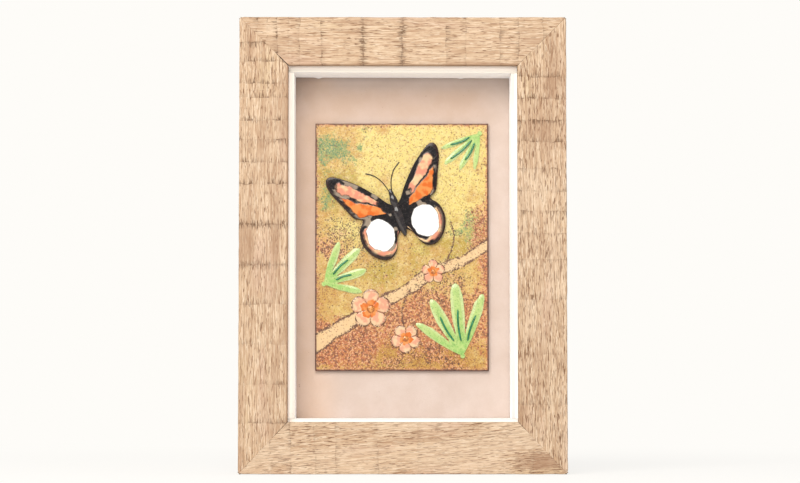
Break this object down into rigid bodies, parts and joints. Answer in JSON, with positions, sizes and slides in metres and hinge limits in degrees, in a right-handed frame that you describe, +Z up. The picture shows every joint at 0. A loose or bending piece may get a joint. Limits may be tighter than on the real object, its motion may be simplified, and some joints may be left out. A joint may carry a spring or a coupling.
{
  "type": "framed enamel panel",
  "caption": "Small enamelled copper picture plate with a raised cut-out butterfly, set on a mount board in a deep rough-sawn oak box frame.",
  "frame": {"origin": "under the middle of the bottom rail, on the surface the frame stands on", "axes": "+X to the viewer's right, +Y from the front towards the back, +Z up"},
  "size_m": [0.132, 0.0282, 0.184],
  "materials": {
    "oak": "rough-sawn pale oak, dry, unvarnished",
    "white_slip": "matte white card",
    "mount_paper": "greige paper-covered mount board, matte",
    "fibreboard": "plain brown fibreboard, matte",
    "enamel_ground": "vitreous enamel fired on copper, sifted and speckled, glossy",
    "enamel_black": "black, white and orange vitreous enamel fired on copper, glossy",
    "zinced_steel": "zinc-plated sheet steel",
    "brassed_steel": "brassed sheet steel"
  },
  "bodies": {
    "root": {"frame_rail_top": "oak", "frame_rail_bottom": "oak", "frame_rail_left": "oak", "frame_rail_right": "oak", "spacer_top": "white_slip", "spacer_bottom": "white_slip", "spacer_left": "white_slip", "spacer_right": "white_slip", "mount_board": "mount_paper", "back_panel": "fibreboard", "enamel_plate": "enamel_ground", "butterfly": "enamel_black", "back_point_left_low": "zinced_steel", "back_point_left_high": "zinced_steel", "back_point_right_low": "zinced_steel", "back_point_right_high": "zinced_steel", "hanger": "brassed_steel"}
  },
  "joints": []
}
